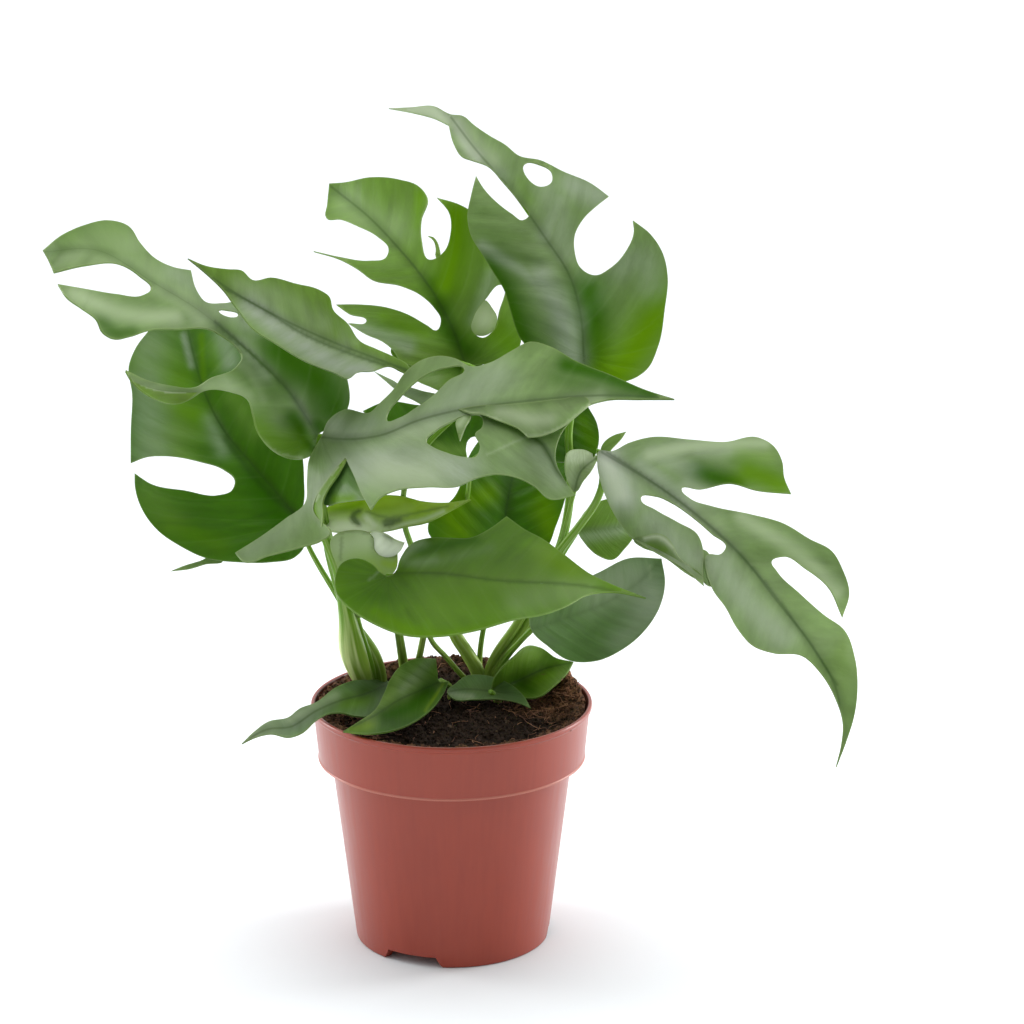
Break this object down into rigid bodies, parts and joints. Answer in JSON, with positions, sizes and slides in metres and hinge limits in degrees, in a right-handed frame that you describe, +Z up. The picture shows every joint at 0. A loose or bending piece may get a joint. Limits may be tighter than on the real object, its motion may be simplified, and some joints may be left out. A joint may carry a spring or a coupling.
{
  "type": "potted mini monstera",
  "caption": "Young split-leaf monstera plant with broad slotted leaves on slim stalks, growing in a plain round nursery pot filled with soil.",
  "frame": {"origin": "centre of the pot's foot, on the surface that it stands on", "axes": "+Z up along the pot's axis; +X to the right and +Y away as the plant is seen from the front; -Y faces the viewer"},
  "size_m": [0.3244, 0.2095, 0.3537],
  "materials": {
    "pot": "satin",
    "soil": "matte",
    "leaf": "satin"
  },
  "bodies": {
    "root": {"pot": "pot", "soil": "soil", "stem_left": "leaf", "stem_middle": "leaf", "stem_right": "leaf", "seedling_left": "leaf", "seedling_right": "leaf"}
  },
  "joints": []
}
